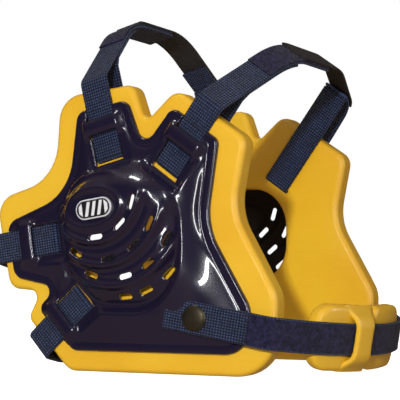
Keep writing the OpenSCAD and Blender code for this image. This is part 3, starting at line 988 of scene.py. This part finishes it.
bronze = Finish("darkened_bronze", Metallic=0.85)
tarnish = bronze.noise(180, 4)
bronze.set(Base_Color=bronze.tint(tarnish.clip(), (0.045, 0.038, 0.026), (0.14, 0.12, 0.075)),
           Roughness=0.26 + 0.22 * bronze.noise(420, 3))
bronze.bump(bronze.noise(600, 2), 0.0001, 0.4)
brass = Finish("snap_brass", Metallic=1.0)
brass.set(Base_Color=brass.tint(brass.noise(300, 3), (0.42, 0.30, 0.12), (0.62, 0.47, 0.20)),
          Roughness=0.25 + 0.2 * brass.noise(500, 2))
brass.bump(brass.noise(900, 2), 0.0001, 0.3)


def turned(name, profile, side, finish, steps=56):
    """A disc turned about the snap's axis: profile is (radius, distance from the middle plane)."""
    places, faces = [], []
    for radius, y in profile:
        places += [(snap.x + radius * math.cos(2 * math.pi * k / steps) * MM, side * y * MM,
                    snap.z + radius * math.sin(2 * math.pi * k / steps) * MM) for k in range(steps)]
    faces = tube_faces(len(profile), steps)
    faces += [tuple(range(steps))[::-1], tuple(range((len(profile) - 1) * steps, len(profile) * steps))]
    piece = shown(name, places, faces, finish)
    outward_faces(piece)
    return piece


cap_base = tab_mid + 0.8
cap_profile = [(1.4, cap_base - 1.4), (1.4, cap_base + 0.05), (6.1, cap_base + 0.05),
               (6.45, cap_base + 0.2), (6.55, cap_base + 0.5), (6.45, cap_base + 0.8),
               (6.1, cap_base + 1.0)]
cap_profile += [(6.0 * math.cos(math.radians(a)), cap_base + 0.9 + 1.1 * math.sin(math.radians(a)))
                for a in (12, 24, 38, 52, 66, 80, 88)]
for name, side in (("right", -1), ("left", 1)):
    tab_path = np.array([(side * tab_mid, -tab_back), (side * tab_mid, tab_front)])
    tab = strip(f"{name}_tab", tab_path, chin_place, strap_width, web_thick, navy_webbing,
                pitch=rib / 4, relief=weave_relief)
    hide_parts(f"{name}_chin_tab")
    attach(tab, f"{name}_tab")
    cap = turned(f"{name}_cap", cap_profile, side, bronze)
    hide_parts(f"{name}_snap_cap")
    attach(cap, f"{name}_tab")
    tab_rows = seam_rows(evenly(tab_path, 0.5), [42.6, 44.8], 6.8, -side * 0.95)
    stitches = thread_stitches(f"{name}_tab_seam", tab_rows, (1, 0), chin_place, navy_thread)
    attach(stitches, f"{name}_tab")
    for part in ("stud", "socket"):
        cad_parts[f"{name}_snap_{part}"].data.materials.clear()
        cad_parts[f"{name}_snap_{part}"].data.materials.append(brass.material)


# ---- Chin pad ----
# A dipped foam pad in two lobes sits inside the chin strap, which passes under
# one foam keeper.
pad_half_length, pad_half_height, pad_thick, lobe_corner = 44.0, 16.5, 9.0, 11.0
pad_offset = -7.8
chin_in = chin_radius - 0.8 - 0.3
chin_skin = dipped_foam("yellow_chin_foam")


# the two lobes meet at a notch above and one below
notch_half, notch_height = 3.2, 11.2


def lobe_pair(edge):
    """Corners along one long edge of the pad: edge is -1 for the lower and 1 for the upper."""
    height = edge * pad_half_height
    corners = [[-pad_half_length, height, lobe_corner], [-notch_half, height, 6],
               [0, edge * notch_height, 2.0], [notch_half, height, 6],
               [pad_half_length, height, lobe_corner]]
    return corners[::-edge]


CHIN_PAD = lobe_pair(-1) + lobe_pair(1)
chin_outline = rounded(CHIN_PAD)
chin_flat, chin_corners = cut_sheet(chin_outline, [], 1.5, [0.1, 0.5, 1.1, 1.9, 2.8])
chin_edge = distance(chin_flat, chin_outline)
chin_drop = round_edge(chin_edge, 2.8)
bulge = 0.5 * np.clip(chin_edge / 10, 0, 1)
outer_r = chin_in - chin_drop - 0.1
inner_r = chin_in - pad_thick + chin_drop - bulge
chin_pad = solid("chin_cushion", chin_flat, chin_corners, outer_r, inner_r, 1, chin_skin, wall_rows=3)
bend = np.array([v.co for v in chin_pad.data.vertices])
flat_along, radius, height = (bend[:, 0] - snap.x) / MM, bend[:, 1] / MM, bend[:, 2] / MM
angle = pad_offset + np.degrees(flat_along / chin_radius)
wrapped = [chin_place(-h, *chin_arc(a, r)) for h, a, r in zip(height, angle, radius)]
chin_pad.data.vertices.foreach_set("co", np.array(wrapped).ravel())
chin_pad.data.update()
outward_faces(chin_pad)
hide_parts("chin_pad")
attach(chin_pad, "chin_pad")

keeper_thick, keeper_wide = 3.0, 13.0
keeper_angle = pad_offset - 6.3
keeper_rise = chin_radius + web_thick / 2 + 0.4 + keeper_thick / 2
keeper_route = bent([(-15.9, chin_in - 3.0, 0), (-13.4, chin_in - 0.9, 3), (-9.0, keeper_rise, 6),
                     (9.0, keeper_rise, 6), (13.4, chin_in - 0.9, 3), (15.9, chin_in - 3.0, 0)], steps=6)


def keeper_place(u, height, radius):
    return chin_place(-height, *chin_arc(keeper_angle + math.degrees(u / chin_radius), radius))


keeper = strip("chin_keeper", keeper_route, keeper_place, keeper_wide, keeper_thick, chin_skin,
               pitch=0.8, columns=10, roundness=0.5,
               taper=lambda share: 1 + 1.1 * abs(2 * share - 1) ** 3)
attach(keeper, "chin_pad")
